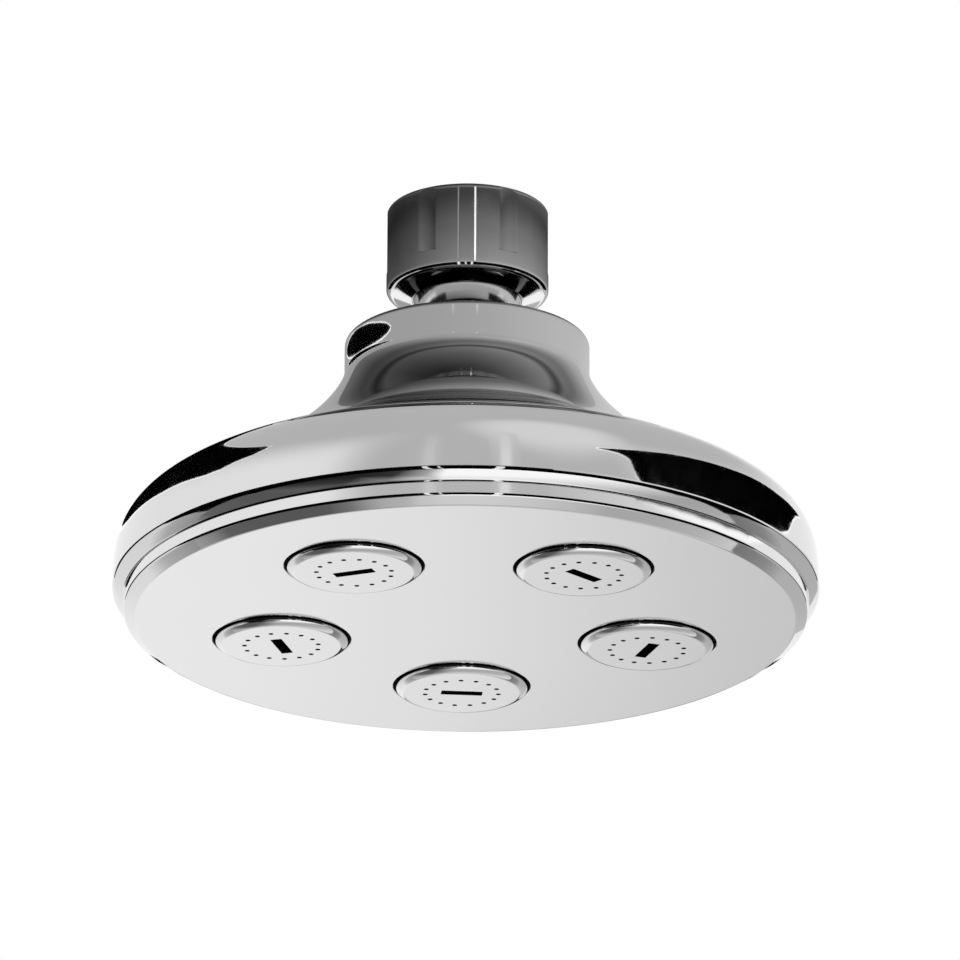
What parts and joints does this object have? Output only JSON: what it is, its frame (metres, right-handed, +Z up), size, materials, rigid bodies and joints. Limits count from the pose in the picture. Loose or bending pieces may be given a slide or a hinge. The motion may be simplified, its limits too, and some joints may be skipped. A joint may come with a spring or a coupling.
{
  "type": "shower head",
  "caption": "Round chrome shower head on a ball joint: fluted swivel nut, domed housing with a flared collar, and a flat face plate with a ring of screw-in spray nozzles.",
  "frame": {"origin": "on the axis at the bottom of the inlet thread, where the end of the shower arm seats", "axes": "+Z up along the arm, out of the thread's mouth; the spray leaves towards -Z; -Y is the side that faces the picture's camera"},
  "size_m": [0.115, 0.115, 0.0728],
  "materials": {
    "nut_chrome": "polished chrome plate on brass",
    "ball_chrome": "polished chrome plate on brass",
    "housing_chrome": "polished chrome plate on brass",
    "face_chrome": "polished chrome plate on brass",
    "nozzle_chrome": "polished chrome plate on brass",
    "screen_steel": "stainless strainer",
    "regulator_plastic": "moulded acetal",
    "rubber": "black rubber"
  },
  "bodies": {
    "nut": {"swivel_nut": "nut_chrome"},
    "seal": {"ball_seal": "rubber"},
    "head": {"ball_stem": "ball_chrome", "inlet_screen": "screen_steel", "flow_regulator": "regulator_plastic", "regulator_seal": "rubber", "stem_washer": "rubber", "upper_housing": "housing_chrome", "plate_gasket": "rubber", "face_plate": "face_chrome", "nozzle_1": "nozzle_chrome", "nozzle_2": "nozzle_chrome", "nozzle_3": "nozzle_chrome", "nozzle_4": "nozzle_chrome", "nozzle_5": "nozzle_chrome", "nozzle_gasket_1": "rubber", "nozzle_gasket_2": "rubber", "nozzle_gasket_3": "rubber", "nozzle_gasket_4": "rubber", "nozzle_gasket_5": "rubber"}
  },
  "joints": [
    {"name": "swivel", "type": "hinge", "parent": "nut", "child": "seal", "pos_m": [0, 0, -0.0057], "axis": [0, 0, 1], "continuous": true},
    {"name": "tilt", "type": "hinge", "parent": "seal", "child": "head", "pos_m": [0, 0, -0.0057], "axis": [1, 0, 0], "range_deg": [-20, 20]}
  ]
}
